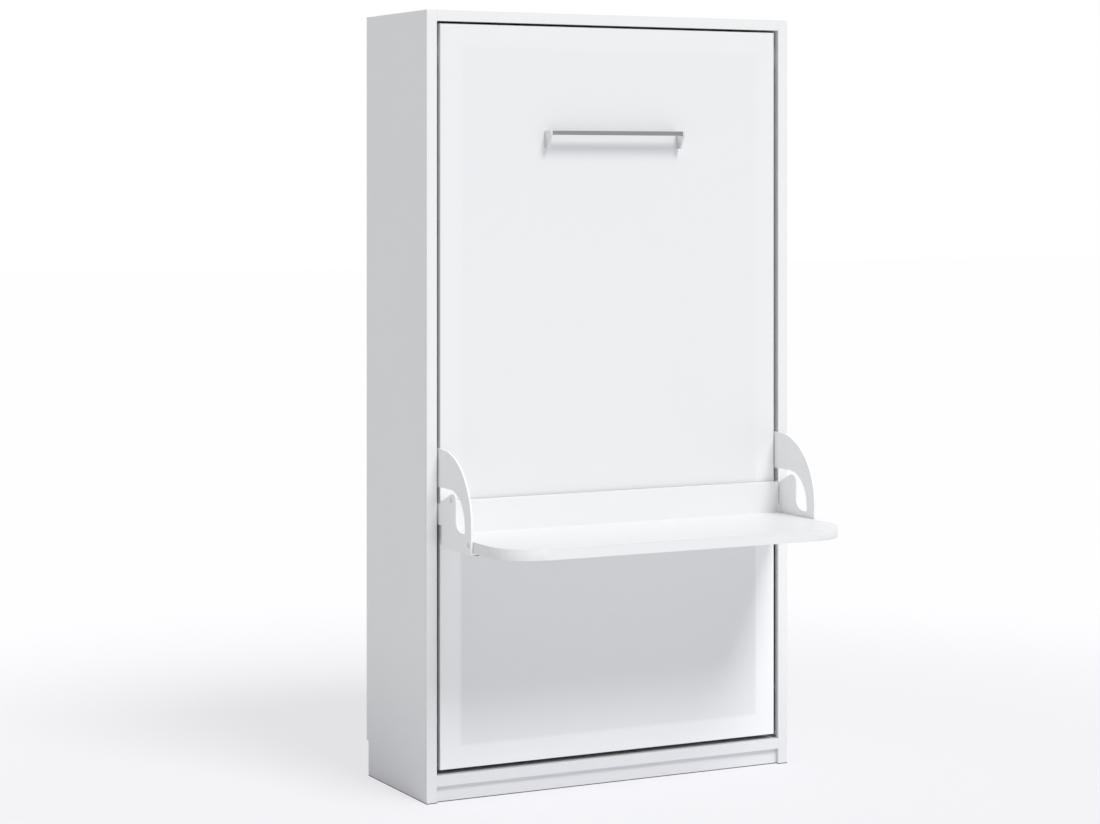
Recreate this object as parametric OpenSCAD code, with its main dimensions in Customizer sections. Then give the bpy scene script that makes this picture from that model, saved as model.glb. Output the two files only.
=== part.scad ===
// Upright wall bed in a cabinet, with a desk that stays level while the bed folds down.
// Millimetres. X runs across the cabinet, Y from its front plane to the wall, Z up from the floor.
// The origin is on the floor, in the middle of the cabinet's front plane.
// Paired pieces are drawn on the +X side and mirrored for the left.

/* [Cabinet] */
// Outer width of the cabinet
cab_w = 1150; // [1050:1:1500]
// Outer height of the cabinet
cab_h = 2160; // [2100:1:2400]
// Depth of the cabinet, which is also the reach of the desk in front of it
cab_d = 415; // [400:1:480]
// Thickness of the side panels
side_t = 30; // [22:1:38]
// Thickness of the top panel
top_t = 30; // [18:1:38]
// Height of the plinth below the bottom shelf
plinth_h = 45; // [40:1:60]
// Thickness of the bottom shelf
shelf_t = 30; // [18:1:34]
// Thickness of the plinth board
plinth_t = 18; // [12:1:25]
// Set-back of the plinth from the front plane
plinth_recess = 11; // [4:1:40]
// Thickness of the back panels
back_t = 8; // [5:1:12]
// Height of the notch that clears the skirting board
notch_h = 100; // [60:1:140]
// Depth of the notch, and set-back of the back panels
notch_d = 14; // [8:1:20]
// Height of the rails that take the wall bolts
wall_rail_h = 100; // [60:1:140]
// Thickness of those rails
wall_rail_t = 25; // [18:1:30]
// Diameter of the wall bolt holes
wall_hole_d = 9; // [7:0.5:12]
// Distance between the two wall bolts of a rail
wall_hole_pitch = 800; // [500:1:850]

/* [Door] */
// Thickness of the door panel, which is the underside of the bed
door_t = 18; // [16:1:22]
// Set-back of the door from the cabinet's front plane
door_recess = 5; // [2:1:8]
// Gap between the door and each side panel, which the desk arms pass through
side_gap = 12; // [12:0.5:16]
// Gap above the door
top_gap = 6.5; // [6.5:0.5:12]
// Gap below the door
bottom_gap = 13; // [12:0.5:20]
// Width of the bevel on the door's front edges
door_bevel = 1.5; // [0.5:0.5:3]

/* [Handle] */
// Length of the handle bar
handle_len = 427; // [200:1:700]
// Side of the square handle bar
handle_bar = 12; // [10:1:16]
// Distance from the cabinet's top down to the bar's centre
handle_from_top = 332; // [250:1:450]
// Distance from the door to the bar's front face
handle_reach = 38; // [30:1:60]
// Thickness of each handle leg
handle_leg_t = 6; // [4:1:12]
// How far a leg drops from the bar's underside, along the door
handle_drop = 37; // [20:1:50]
// Depth of a leg at its foot
handle_foot = 19; // [10:1:30]

/* [Bed frame] */
// Room between the mattress and each side panel, for the rail and the mechanism
mattress_room = 97; // [97:1:130]
// Thickness of the mattress
mattress_t = 180; // [140:1:190]
// Height of the crown on the sleeping face
crown_h = 12; // [4:1:14]
// Gap between the mattress and each frame rail
mattress_gap = 4; // [3:0.5:8]
// Width of a frame rail
rail_w = 30; // [20:1:30]
// Depth of a frame rail
rail_d = 60; // [50:1:80]
// Depth of the cross tubes behind the door
tube_d = 18; // [12:1:20]
// Height of a cross tube
tube_h = 25; // [20:1:40]
// Width of a slat
slat_w = 68; // [40:1:80]
// Thickness of a slat
slat_t = 8; // [6:1:10]
// Number of slats
slat_count = 14; // [10:1:16]
// Wall of the frame's tubes
tube_wall = 2; // [1.2:0.1:3]
// Diameter of the mattress hoop's tube
hoop_d = 12; // [10:1:16]
// Width of a mattress strap
strap_w = 40; // [25:1:50]

/* [Desk] */
// Height of the desktop above the floor
desk_z = 735; // [700:1:780]
// Thickness of the desktop
desk_t = 30; // [22:1:34]
// Radius of the desktop's front corners
desk_corner_r = 120; // [40:1:160]
// Height of the back board above the desktop
upstand_h = 88; // [50:1:95]
// Thickness of the back board
upstand_t = 18; // [12:1:22]
// Gap between the back board and the door
upstand_gap = 7; // [4:1:12]
// Gap between the desktop's ends and the arms
desk_gap = 1.2; // [0.5:0.1:5]

/* [Desk arms] */
// Thickness of the arm plates
arm_t = 5; // [4:0.5:5.5]
// Radius of the arm's outer sweep
arm_r = 186.5; // [176:0.5:196]
// Radius of the hook-shaped cut in the arm
cut_r = 91; // [84:1:96]
// Radius of the round tip of the hook
hook_r = 25; // [15:1:30]
// Width of the flange under the desktop
flange_w = 35; // [25:1:50]
// Radius of the flange's free corner
flange_r = 30; // [8:1:34]
// Diameter of the pin that the desk turns on
arm_pin_d = 12; // [10:1:14]
// Thickness of the glide pads under the flanges
glide_t = 2.5; // [1.5:0.5:2.5]

/* [Mechanism] */
// Diameter of the bed's axle
axle_d = 16; // [14:1:18]
// Thickness of the steel brackets
bracket_t = 4; // [3:0.5:5]
// Thickness of the levelling link
link_t = 3; // [2:0.5:3]
// Width of the levelling link
link_w = 21; // [18:1:21]
// Diameter of the link's pins
link_pin_d = 10; // [8:1:12]
// Diameter of a gas strut's cylinder
strut_d = 22; // [18:1:24]
// Diameter of a gas strut's rod
strut_rod_d = 8; // [6:1:10]
// Diameter of the studs that hold the struts
stud_d = 10; // [8:1:10]

/* [Hidden] */
$fn = 48;
round_fn = 96;

// Clearances
fit = 0.05;        // running fit of a pin, on the radius
open_fit = 0.3;    // the link's upper pivot, on the radius
seat = 0.3;        // pieces that rest on each other but move or are soft
layer_gap = 1;     // between the moving layers in the door's side gap
eps = 0.01;

// Cabinet
inner_x = cab_w / 2 - side_t;
shelf_top = plinth_h + shelf_t;
top_z = cab_h - top_t;
back_y = cab_d - notch_d - back_t;
joint_z = 1180;
joiner_h = 24;
joiner_lip = 2;

// Door
door_x = inner_x - side_gap;
door_y = door_recess;
door_back = door_y + door_t;
door_z0 = shelf_top + bottom_gap;
door_z1 = top_z - top_gap;

// Layers in the side gap, from the cabinet side inwards
boss_t = 0.5;
link_x1 = inner_x - boss_t - seat;
link_x0 = link_x1 - link_t;
arm_x1 = link_x0 - layer_gap;
arm_x0 = arm_x1 - arm_t;

// Bed frame
mattress_x = inner_x - mattress_room;
rail_x0 = mattress_x + mattress_gap;
rail_x1 = rail_x0 + rail_w;
rail_z0 = door_z0 + 7;
rail_z1 = door_z1 - 14;
rail_back = door_back + rail_d;
bottom_tube_z = rail_z0 + 2;
top_tube_z = rail_z1 - 50;
slat_bow = 1.5;
cap_wall = 2;
slat_y = door_back + tube_d + slat_bow + cap_wall + 2 * seat;
stop_t = 3;
stop_z = bottom_tube_z + tube_h;
mattress_y = slat_y + slat_t + seat;
mattress_z0 = stop_z + stop_t + seat;
mattress_z1 = rail_z1 - 14;
slat_margin = 60;
slat_z0 = mattress_z0 + slat_margin;
slat_pitch = (mattress_z1 - slat_margin - slat_z0) / (slat_count - 1);

// Desk arms, in (Y, Z), from the underside of the flange up
arm_z = desk_z - desk_t - arm_t;
sweep_y = -20;
sweep_rise = 79;
sweep_z = arm_z + sweep_rise;
arm_top = sweep_z + arm_r;
upper_lobe_h = 104;
upper_lobe_z = arm_top - upper_lobe_h;
link_lobe_r = 27.5;
lower_lobe_z = arm_z + 114;
notch_r = 5;
cut_floor_z = arm_z + 52;
cut_c = [-76, upper_lobe_z - cut_r];
hook_front_y = -110;
hook_rise = 0.45;
throat_r = 35;

// Pivots, in (Y, Z): the arm pin is the middle of the upper lobe, and the desk comes down to the floor
axle_y = door_back + 22;
arm_pin = [axle_y, arm_top - upper_lobe_h / 2];
foot_clear = glide_t + 0.5;
axle = [axle_y, arm_pin[1] - arm_z + foot_clear];
link_y = axle_y - 25;
link_low = [link_y, shelf_top + link_w / 2 + 4];
link_high = arm_pin + (link_low - axle);
// The two strut anchors are equally far from the axle, so a strut turns by half the bed's angle
lever_r = (axle[1] - shelf_top - 17) / sin(79);
strut_top = axle + lever_r * [cos(88), sin(88)];
strut_foot = axle + lever_r * [cos(79), -sin(79)];
strut_x = rail_x1 + 21;
strut_len = norm(strut_top - strut_foot);
strut_low = 2 * lever_r * sin((88 + 79 - 90) / 2);
strut_tilt = atan2(strut_foot[0] - strut_top[0], strut_top[1] - strut_foot[1]);
eye_w = 12;
eye_r = stud_d / 2 + 5;
stud_tip_x = strut_x - eye_w / 2 - 4;
bracket_x1 = door_x - 3;
bracket_x0 = bracket_x1 - bracket_t;
bush_x0 = bracket_x0 - 6;
bush_x1 = arm_x0 - layer_gap - 0.2;

// Desk
desk_x = arm_x0 - desk_gap;
desk_front = -cab_d;
upstand_y = door_y - upstand_gap - upstand_t;

// Colours
white_side = [0.86, 0.865, 0.87];
white_door = [0.93, 0.935, 0.94];
white_desk = [0.96, 0.96, 0.96];
steel_white = [0.85, 0.855, 0.87];
steel_grey = [0.58, 0.59, 0.60];
zinc = [0.66, 0.67, 0.69];
black = [0.12, 0.12, 0.13];
birch = [0.80, 0.68, 0.50];
ticking = [0.93, 0.93, 0.91];
webbing = [0.25, 0.26, 0.28];

// ---- helpers ----

// A box given by its two corners
module span(low, high) {
    translate(low) cube(high - low);
}

// Draws on the +X side, or mirrored on the -X side
module on_side(side) {
    if (side < 0) mirror([1, 0, 0]) children();
    else children();
}

// A flat outline in (Y, Z), as a plate from x0 to x1
module plate_yz(x0, x1) {
    translate([x0, 0, 0]) rotate([90, 0, 90]) linear_extrude(x1 - x0) children();
}

// A round bar along X at p = (Y, Z)
module bar_x(p, x0, x1, r) {
    translate([x0, p[0], p[1]]) rotate([0, 90, 0]) cylinder(r = r, h = x1 - x0, $fn = round_fn);
}

// A round-ended strip from p to q
module capsule(p, q, r) {
    translate(p) circle(r, $fn = round_fn);
    translate(q) circle(r, $fn = round_fn);
    translate(p) rotate(atan2(q[1] - p[1], q[0] - p[0]))
        translate([0, -r]) square([norm(q - p), 2 * r]);
}

// Points along an arc about c, from angle a0 to a1
function arc(c, r, a0, a1, steps) = [for (k = [0 : steps])
    let (a = a0 + (a1 - a0) * k / steps) c + r * [cos(a), sin(a)]];

// A rectangle given by its corners
module area(low, high) {
    translate(low) square(high - low);
}

// A rectangle centred on X, whose two corners at its low Y end are round
module round_front(half_w, y0, y1, r) {
    difference() {
        area([-half_w, y0], [half_w, y1]);
        for (s = [-1, 1]) {
            difference() {
                translate([s * (half_w - r / 2), y0 + r / 2]) square(r + eps, center = true);
                translate([s * (half_w - r), y0 + r]) circle(r, $fn = round_fn);
            }
        }
    }
}

// ---- cabinet ----

// The recess in a side panel that takes the pivot plate
plate_y0 = link_y - 9;
plate_y1 = axle_y + 32;
plate_z0 = link_low[1] - 12;
plate_z1 = axle[1] + 44;
anchor_r = 18;

module side_panel(side) {
    color(white_side) on_side(side) difference() {
        span([inner_x, 0, 0], [cab_w / 2, cab_d, cab_h]);
        span([inner_x - 1, cab_d - notch_d, -1], [cab_w / 2 + 1, cab_d + 1, notch_h]);
        span([inner_x - 1, plate_y0 - fit, plate_z0 - fit],
            [inner_x + bracket_t + fit, plate_y1 + fit, plate_z1 + fit]);
        bar_x(strut_top, inner_x - 1, inner_x + bracket_t + fit, anchor_r + fit);
    }
}

module top_panel() {
    color(white_side) span([-inner_x, 0, top_z], [inner_x, cab_d, cab_h]);
}

module bottom_shelf() {
    color(white_side) span([-inner_x, 0, plinth_h], [inner_x, cab_d - notch_d, shelf_top]);
}

module plinth() {
    back = cab_d - notch_d;
    color(white_side) {
        span([-inner_x, plinth_recess, 0], [inner_x, plinth_recess + plinth_t, plinth_h]);
        span([-inner_x, back - plinth_t, 0], [inner_x, back, plinth_h]);
        for (x = [-1, 0, 1]) {
            span([x * inner_x / 2 - plinth_t / 2, plinth_recess + plinth_t, 0],
                [x * inner_x / 2 + plinth_t / 2, back - plinth_t, plinth_h]);
        }
    }
}

// Holes for the wall bolts, through a rail and the panel behind it
module wall_holes(z) {
    for (s = [-1, 1]) {
        translate([s * wall_hole_pitch / 2, back_y - wall_rail_t - 1, z]) rotate([-90, 0, 0])
            cylinder(d = wall_hole_d, h = wall_rail_t + back_t + 2);
    }
}

rail_low_z = shelf_top + wall_rail_h / 2;
rail_high_z = top_z - wall_rail_h / 2;

module back_panel(z0, z1) {
    color(white_side) difference() {
        span([-inner_x, back_y, z0], [inner_x, back_y + back_t, z1]);
        wall_holes(rail_low_z);
        wall_holes(rail_high_z);
    }
}

// An H-shaped strip that holds the edges of the two back panels
module back_joiner() {
    web = 2;
    color(white_side) translate([-inner_x, 0, 0]) {
        span([0, back_y, joint_z - web / 2], [2 * inner_x, back_y + back_t, joint_z + web / 2]);
        for (y = [back_y - joiner_lip, back_y + back_t]) {
            span([0, y, joint_z - joiner_h / 2],
                [2 * inner_x, y + joiner_lip, joint_z + joiner_h / 2]);
        }
    }
}

module wall_rail(z) {
    color(white_side) difference() {
        span([-inner_x, back_y - wall_rail_t, z - wall_rail_h / 2],
            [inner_x, back_y, z + wall_rail_h / 2]);
        wall_holes(z);
    }
}

// Buffers on the side panels that the closed door comes to rest against
module closing_stops() {
    stop_h = 40;
    stop_z0 = door_z1 - 50 - stop_h;
    stop_d = 50;
    rubber_t = 4;
    arm_len = 20;
    for (s = [-1, 1]) on_side(s) {
        color(zinc) span([inner_x - bracket_t, door_back + rubber_t + seat, stop_z0],
            [inner_x, door_back + stop_d, stop_z0 + stop_h]);
        color(zinc) span([inner_x - side_gap - arm_len, door_back + rubber_t + seat, stop_z0],
            [inner_x - bracket_t, door_back + rubber_t + seat + bracket_t, stop_z0 + stop_h]);
        color(black) translate([inner_x - side_gap - arm_len / 2, 0, stop_z0 + stop_h / 2])
            rotate([-90, 0, 0]) translate([0, 0, door_back + seat])
            cylinder(r = 8, h = rubber_t);
    }
}

// Flush steel plate with the bed's axle and the link's lower pin
module pivot_plate(side) {
    head_t = 1;
    color(zinc) on_side(side) {
        difference() {
            span([inner_x, plate_y0, plate_z0], [inner_x + bracket_t, plate_y1, plate_z1]);
            for (z = [plate_z0 + 34, plate_z1 - 10]) {
                bar_x([plate_y1 - 10, z], inner_x - 1, inner_x + bracket_t + 1, 2.5);
            }
        }
        bar_x(axle, bush_x0 - 5, inner_x, axle_d / 2);
        bar_x(axle, bush_x0 - 4, bush_x0 - seat, axle_d / 2 + 4);
        bar_x(axle, bush_x1 + seat, inner_x, axle_d / 2 + 1.5);
        bar_x(link_low, inner_x - boss_t, inner_x, link_pin_d / 2 + 3);
        bar_x(link_low, link_x0 - seat - head_t, inner_x, link_pin_d / 2);
        bar_x(link_low, link_x0 - seat - head_t, link_x0 - seat, link_pin_d / 2 + 3);
    }
}

// A stud with a collar and a clip, from a carrier at x1 inwards to the strut's eye
module strut_stud(p, x1) {
    bar_x(p, strut_x + eye_w / 2 + seat, x1, stud_d / 2 + 2);
    bar_x(p, stud_tip_x, x1, stud_d / 2);
    bar_x(p, stud_tip_x + 0.7, strut_x - eye_w / 2 - seat, stud_d / 2 + 3);
}

module strut_anchor(side) {
    color(zinc) on_side(side) {
        bar_x(strut_top, inner_x, inner_x + bracket_t, anchor_r);
        strut_stud(strut_top, inner_x);
    }
}

// ---- bed ----

module door_panel() {
    b = door_bevel;
    color(white_door) intersection() {
        translate([0, 0, door_z0]) linear_extrude(door_z1 - door_z0) polygon([
            [-door_x + b, door_y], [door_x - b, door_y], [door_x, door_y + b],
            [door_x, door_back], [-door_x, door_back], [-door_x, door_y + b]]);
        plate_yz(-door_x - 1, door_x + 1) polygon([
            [door_y, door_z0 + b], [door_y + b, door_z0], [door_back, door_z0],
            [door_back, door_z1], [door_y + b, door_z1], [door_y, door_z1 - b]]);
    }
}

bar_y = door_y - handle_reach;
handle_z = cab_h - handle_from_top;

module handle_bar() {
    s = handle_bar / 2;
    c = 1.2;
    color(steel_grey) plate_yz(-handle_len / 2 + handle_leg_t, handle_len / 2 - handle_leg_t) translate([bar_y + s, handle_z])
        polygon([[-s + c, -s], [s - c, -s], [s, -s + c], [s, s - c],
            [s - c, s], [-s + c, s], [-s, s - c], [-s, -s + c]]);
}

// A leg is a plate over an end of the bar. It narrows from the bar down to its foot.
module handle_legs() {
    s = handle_bar / 2;
    color(zinc) for (side = [-1, 1]) on_side(side)
        plate_yz(handle_len / 2 - handle_leg_t, handle_len / 2) polygon([
            [bar_y, handle_z + s], [bar_y, handle_z - s],
            [door_y - handle_foot, handle_z - s - handle_drop],
            [door_y, handle_z - s - handle_drop], [door_y, handle_z + s]]);
}

// A rectangular steel tube behind the door, with both ends closed by a plastic plug
module rail(side) {
    color(steel_grey) on_side(side) difference() {
        span([rail_x0, door_back, rail_z0], [rail_x1, rail_back, rail_z1]);
        span([rail_x0 + tube_wall, door_back + tube_wall, rail_z0 - 1],
            [rail_x1 - tube_wall, rail_back - tube_wall, rail_z1 + 1]);
    }
}

module rail_plugs() {
    plug_h = 20;
    cap_h = 3;
    color(black) for (s = [-1, 1]) on_side(s) {
        for (low = [true, false]) {
            z = low ? rail_z0 : rail_z1 - plug_h;
            outer_z = low ? rail_z0 - cap_h : rail_z1;
            span([rail_x0 + tube_wall, door_back + tube_wall, z],
                [rail_x1 - tube_wall, rail_back - tube_wall, z + plug_h]);
            span([rail_x0, door_back, outer_z], [rail_x1, rail_back, outer_z + cap_h]);
        }
    }
}

// A rectangular tube from rail to rail, with its back at y1
module cross_tube(z, y1) {
    difference() {
        span([-rail_x0, door_back, z], [rail_x0, y1, z + tube_h]);
        span([-rail_x0 - 1, door_back + tube_wall, z + tube_wall],
            [rail_x0 + 1, y1 - tube_wall, z + tube_h - tube_wall]);
    }
}

module cross_tubes() {
    step = (top_tube_z - bottom_tube_z) / 4;
    color(steel_grey) {
        cross_tube(bottom_tube_z, slat_y + slat_t);
        for (i = [1 : 4]) cross_tube(bottom_tube_z + i * step, door_back + tube_d);
    }
}

// A folded steel bracket between a rail and the door, with a bush in its outer wall
module folded_bracket(side, p, half_h, bore_r) {
    boss_r = bore_r + 5;
    color(zinc) on_side(side) difference() {
        union() {
            span([rail_x1, door_back, p[1] - half_h],
                [bracket_x1, door_back + bracket_t, p[1] + half_h]);
            span([rail_x1, door_back, p[1] - half_h],
                [rail_x1 + bracket_t, rail_back - 8, p[1] + half_h]);
            plate_yz(bracket_x0, bracket_x1) {
                area([door_back, p[1] - half_h], [p[0], p[1] + half_h]);
                translate(p) circle(p[0] - door_back, $fn = round_fn);
                children();
            }
            bar_x(p, bush_x0, bush_x1, boss_r);
        }
        bar_x(p, bush_x0 - 1, bush_x1 + 1, bore_r);
    }
}

module hinge_bracket(side) {
    folded_bracket(side, axle, 60, axle_d / 2 + fit) capsule(axle, strut_foot, 13);
    color(zinc) on_side(side) strut_stud(strut_foot, bracket_x0);
}

module arm_bracket(side) {
    folded_bracket(side, arm_pin, 42, arm_pin_d / 2 + eps);
}

module arm_pin(side) {
    head_t = 2.5;
    color(zinc) on_side(side) {
        bar_x(arm_pin, bush_x0 - 3, arm_x1 + seat + head_t, arm_pin_d / 2);
        bar_x(arm_pin, arm_x1 + seat, arm_x1 + seat + head_t, arm_pin_d / 2 + 5);
        bar_x(arm_pin, bush_x0 - 2.5, bush_x0, arm_pin_d / 2 + 3);
    }
}

// A slat is bowed a little towards the mattress, and its ends sit in the caps
slat_end = rail_x0 - 6;

module slats() {
    r = (slat_end * slat_end + slat_bow * slat_bow) / (2 * slat_bow);
    y1 = slat_y + slat_t;
    color(birch) for (i = [0 : slat_count - 1]) {
        translate([0, 0, slat_z0 + i * slat_pitch - slat_w / 2]) linear_extrude(slat_w)
            polygon([for (k = [-12 : 12]) let (x = slat_end * k / 12)
                    [x, y1 - r + sqrt(r * r - x * x)],
                for (k = [12 : -1 : -12]) let (x = slat_end * k / 12)
                    [x, y1 - slat_t - r + sqrt(r * r - x * x)]]);
    }
}

module slat_caps() {
    wall = cap_wall;
    reach = 22;
    y0 = slat_y - slat_bow;
    y1 = slat_y + slat_t;
    color(black) for (i = [0 : slat_count - 1], s = [-1, 1]) on_side(s) {
        z = slat_z0 + i * slat_pitch;
        span([slat_end + seat, y0 - wall - seat, z - slat_w / 2 - wall],
            [rail_x0, y1 + wall, z + slat_w / 2 + wall]);
        span([rail_x0 - reach, y0 - wall - seat, z - slat_w / 2],
            [slat_end + seat, y0 - seat, z + slat_w / 2]);
        for (e = [-1, 1]) {
            span([rail_x0 - reach, y0 - wall - seat, z + e * (slat_w / 2 + wall / 2 + 0.3) - wall / 2],
                [slat_end + seat, y1, z + e * (slat_w / 2 + wall / 2 + 0.3) + wall / 2]);
        }
    }
}

// Mattress: rings of one rounded rectangle, stacked through the thickness. The sides draw in
// between the corners, and the sleeping face rises to a crown.
mattress_half_z = (mattress_z1 - mattress_z0) / 2;
mattress_mid_z = (mattress_z1 + mattress_z0) / 2;
mattress_y1 = mattress_y + mattress_t - crown_h;
strap_z = [for (s = [-1, 1]) mattress_mid_z + s * mattress_half_z * 0.46];
edge_r = 24;
corner_r = 60;
draw_in = 7;
crown_run = 300;
edge_steps = [0, 30, 60, 90];
crown_steps = [70, 140, 220, crown_run];

function crown_at(inset) = crown_h * sin(90 * min(1, inset / crown_run));

// Rows of [inset from the widest outline, Y]
mattress_rings = concat(
    [for (a = edge_steps) [edge_r * (1 - sin(a)), mattress_y + edge_r * (1 - cos(a))]],
    [[draw_in, mattress_y + mattress_t * 0.32], [draw_in, mattress_y1 - mattress_t * 0.32]],
    [for (a = [90, 60, 30, 0])
        [edge_r * (1 - sin(a)), mattress_y1 - edge_r * (1 - cos(a))]],
    [for (d = crown_steps) [d, mattress_y1 + crown_at(d)]]);

// One ring's points: four corner arcs with straight runs between
function ring(inset, y) = let (
        hx = mattress_x - inset,
        hz = mattress_half_z - inset,
        r = max(4, corner_r - inset * 0.6))
    [for (q = [0 : 3], k = [0 : 7]) let (
            a = 90 * q + 90 * k / 7,
            sx = (q == 0 || q == 3) ? 1 : -1,
            sz = (q < 2) ? 1 : -1)
        [sx * (hx - r) + r * cos(a), y, mattress_mid_z + sz * (hz - r) + r * sin(a)]];

module mattress() {
    n = 32;
    rows = len(mattress_rings);
    points = [for (m = mattress_rings) each ring(m[0], m[1])];
    sides = [for (j = [0 : rows - 2], i = [0 : n - 1]) let (
            a = j * n + i, b = j * n + (i + 1) % n)
        each [[a, b, a + n], [b, b + n, a + n]]];
    first = [for (i = [n - 1 : -1 : 0]) i];
    last = [for (i = [0 : n - 1]) (rows - 1) * n + i];
    color(ticking) polyhedron(points, concat([first], sides, [last]));
}

// A plate behind the lower tube that carries the mattress when the bed stands up
module mattress_stop() {
    half_w = mattress_x * 0.58;
    color(zinc) translate([0, 0, stop_z]) linear_extrude(stop_t)
        mirror([0, 1]) round_front(half_w, -(mattress_y + mattress_t * 0.7),
            -(door_back + 2), 40);
}

// A bent tube that keeps the mattress in at the foot of the bed
module mattress_hoop() {
    r = hoop_d / 2;
    bend = 40;
    x = rail_x0 + rail_w / 2;
    y = mattress_y + mattress_t + r + 6;
    z = mattress_z1 - 50;
    color(steel_grey) {
        for (s = [-1, 1]) on_side(s) {
            translate([x, rail_back, z]) rotate([-90, 0, 0])
                cylinder(r = r, h = y - bend - rail_back);
            translate([x - bend, y - bend, z]) rotate_extrude(angle = 90)
                translate([bend, 0]) circle(r);
        }
        bar_x([y, z], -x + bend, x - bend, r);
    }
}

// A strap from rail to rail over the sleeping face, following its section
module strap(z) {
    t = 2;
    air = 0.6;
    leg_x = mattress_x + 0.8;
    shoulder = mattress_y1 - edge_r;
    half = concat(
        [[leg_x, rail_back], [leg_x, shoulder]],
        [for (a = [75 : -25 : 25])
            [mattress_x - edge_r * (1 - sin(a)) + air, mattress_y1 - edge_r * (1 - cos(a)) + air]],
        [[mattress_x - edge_r, mattress_y1 + air]],
        [for (d = crown_steps) [mattress_x - d, mattress_y1 + crown_at(d) + air]]);
    outer = [for (p = half) [p[0] + (p[1] <= shoulder ? t : t * 0.7), p[1] + (p[1] > shoulder ? t : 0)]];
    count = len(half);
    inner_line = concat(half, [for (i = [count - 1 : -1 : 0]) [-half[i][0], half[i][1]]]);
    outer_line = concat([for (i = [0 : count - 1]) [-outer[i][0], outer[i][1]]],
        [for (i = [count - 1 : -1 : 0]) outer[i]]);
    color(webbing) translate([0, 0, z - strap_w / 2]) {
        linear_extrude(strap_w) polygon(concat(inner_line, outer_line));
        for (s = [-1, 1]) on_side(s) {
            span([leg_x, rail_back, 0], [rail_x1 - 4, rail_back + t, strap_w]);
        }
    }
}

// ---- struts and links ----

// Places a strut's parts: local +Z runs from its lower stud to its upper one
module along_strut(p) {
    translate([strut_x, p[0], p[1]]) rotate([strut_tilt, 0, 0]) children();
}

module strut_eye() {
    rotate([0, 90, 0]) translate([0, 0, -eye_w / 2]) cylinder(r = eye_r, h = eye_w);
}

module eye_bore() {
    rotate([0, 90, 0]) translate([0, 0, -eye_w / 2 - 1])
        cylinder(r = stud_d / 2 + fit, h = eye_w + 2);
}

tube_len = strut_low - 2 * eye_r;
gland = 8;
neck_h = 4;

module strut_cylinder(side) {
    color(black) on_side(side) along_strut(strut_top) difference() {
        union() {
            strut_eye();
            translate([0, 0, -tube_len - eye_r + 1])
                cylinder(d = strut_d, h = tube_len - neck_h);
            translate([0, 0, -eye_r - neck_h + 1])
                cylinder(d1 = strut_d, d2 = eye_w, h = neck_h);
        }
        eye_bore();
        translate([0, 0, -tube_len - eye_r + gland])
            cylinder(d = strut_d - 4, h = tube_len - gland - neck_h - 2);
        translate([0, 0, -tube_len - eye_r]) cylinder(d = strut_rod_d + 0.3, h = gland + 2);
    }
}

module strut_rod(side) {
    reach = strut_low - eye_r - 14;
    color(zinc) on_side(side) along_strut(strut_foot) difference() {
        union() {
            strut_eye();
            cylinder(d = strut_rod_d, h = reach);
            translate([0, 0, reach - 6]) cylinder(d = strut_d - 5, h = 6);
        }
        eye_bore();
    }
}

module link(side) {
    head_t = 1.4;
    head_x = arm_x0 - seat;
    color(steel_grey) on_side(side) {
        difference() {
            plate_yz(link_x0, link_x1) capsule(link_low, link_high, link_w / 2);
            bar_x(link_low, link_x0 - 1, link_x1 + 1, link_pin_d / 2 + fit);
        }
        bar_x(link_high, head_x - head_t, link_x0 + eps, link_pin_d / 2);
        bar_x(link_high, head_x - head_t, head_x, link_pin_d / 2 + 4);
    }
}

// ---- desk ----

module desktop() {
    b = 1.5;
    color(white_desk) {
        translate([0, 0, desk_z - desk_t]) linear_extrude(desk_t - b)
            round_front(desk_x, desk_front, upstand_y, desk_corner_r);
        translate([0, 0, desk_z - b]) linear_extrude(b)
            round_front(desk_x - b / 2, desk_front + b / 2, upstand_y, desk_corner_r - b / 2);
    }
}

module upstand() {
    color(white_desk) span([-desk_x, upstand_y, desk_z - desk_t],
        [desk_x, upstand_y + upstand_t, desk_z + upstand_h]);
}

// The outline of an arm plate in (Y, Z): a sweep in front of the door that ends in two lobes
// behind it, one for the pin and one for the link, with a hook-shaped opening between them
hook_slope = atan(hook_rise);
hook_tip_y = hook_front_y + hook_r;
hook_tip = [hook_tip_y, lower_lobe_z - hook_rise * hook_tip_y - hook_r / cos(hook_slope)];

function arm_outline() = let (
        front = sweep_y - arm_r,
        cut_front = cut_c[0] - cut_r,
        throat = [hook_front_y - throat_r, cut_floor_z + throat_r])
    concat(
        [[front, arm_z], [upstand_y, arm_z]],
        arc([upstand_y + notch_r, link_high[1] - link_lobe_r - notch_r], notch_r, 180, 90, 8),
        arc(link_high, link_lobe_r, -90, 90, 30),
        [[0, lower_lobe_z]],
        arc(hook_tip, hook_r, 90 - hook_slope, 180, 14),
        arc(throat, throat_r, 0, -90, 12),
        [[cut_front, cut_floor_z]],
        arc(cut_c, cut_r, 180, 90, 24),
        arc(arm_pin, upper_lobe_h / 2, -90, 90, 30),
        arc([sweep_y, sweep_z], arm_r, 90, 180, 36));

module arm(side) {
    front = sweep_y - arm_r;
    color(steel_white) on_side(side) {
        difference() {
            plate_yz(arm_x0, arm_x1) polygon(arm_outline());
            bar_x(arm_pin, arm_x0 - 1, arm_x1 + 1, arm_pin_d / 2 + fit);
            bar_x(link_high, arm_x0 - 1, arm_x1 + 1, link_pin_d / 2 + open_fit);
        }
        translate([0, 0, arm_z]) linear_extrude(arm_t) difference() {
            area([arm_x0 - flange_w, front], [arm_x0 + arm_t / 2, upstand_y]);
            difference() {
                translate([arm_x0 - flange_w, front]) square(2 * flange_r, center = true);
                translate([arm_x0 - flange_w + flange_r, front + flange_r])
                    circle(flange_r, $fn = round_fn);
            }
        }
    }
}

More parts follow.
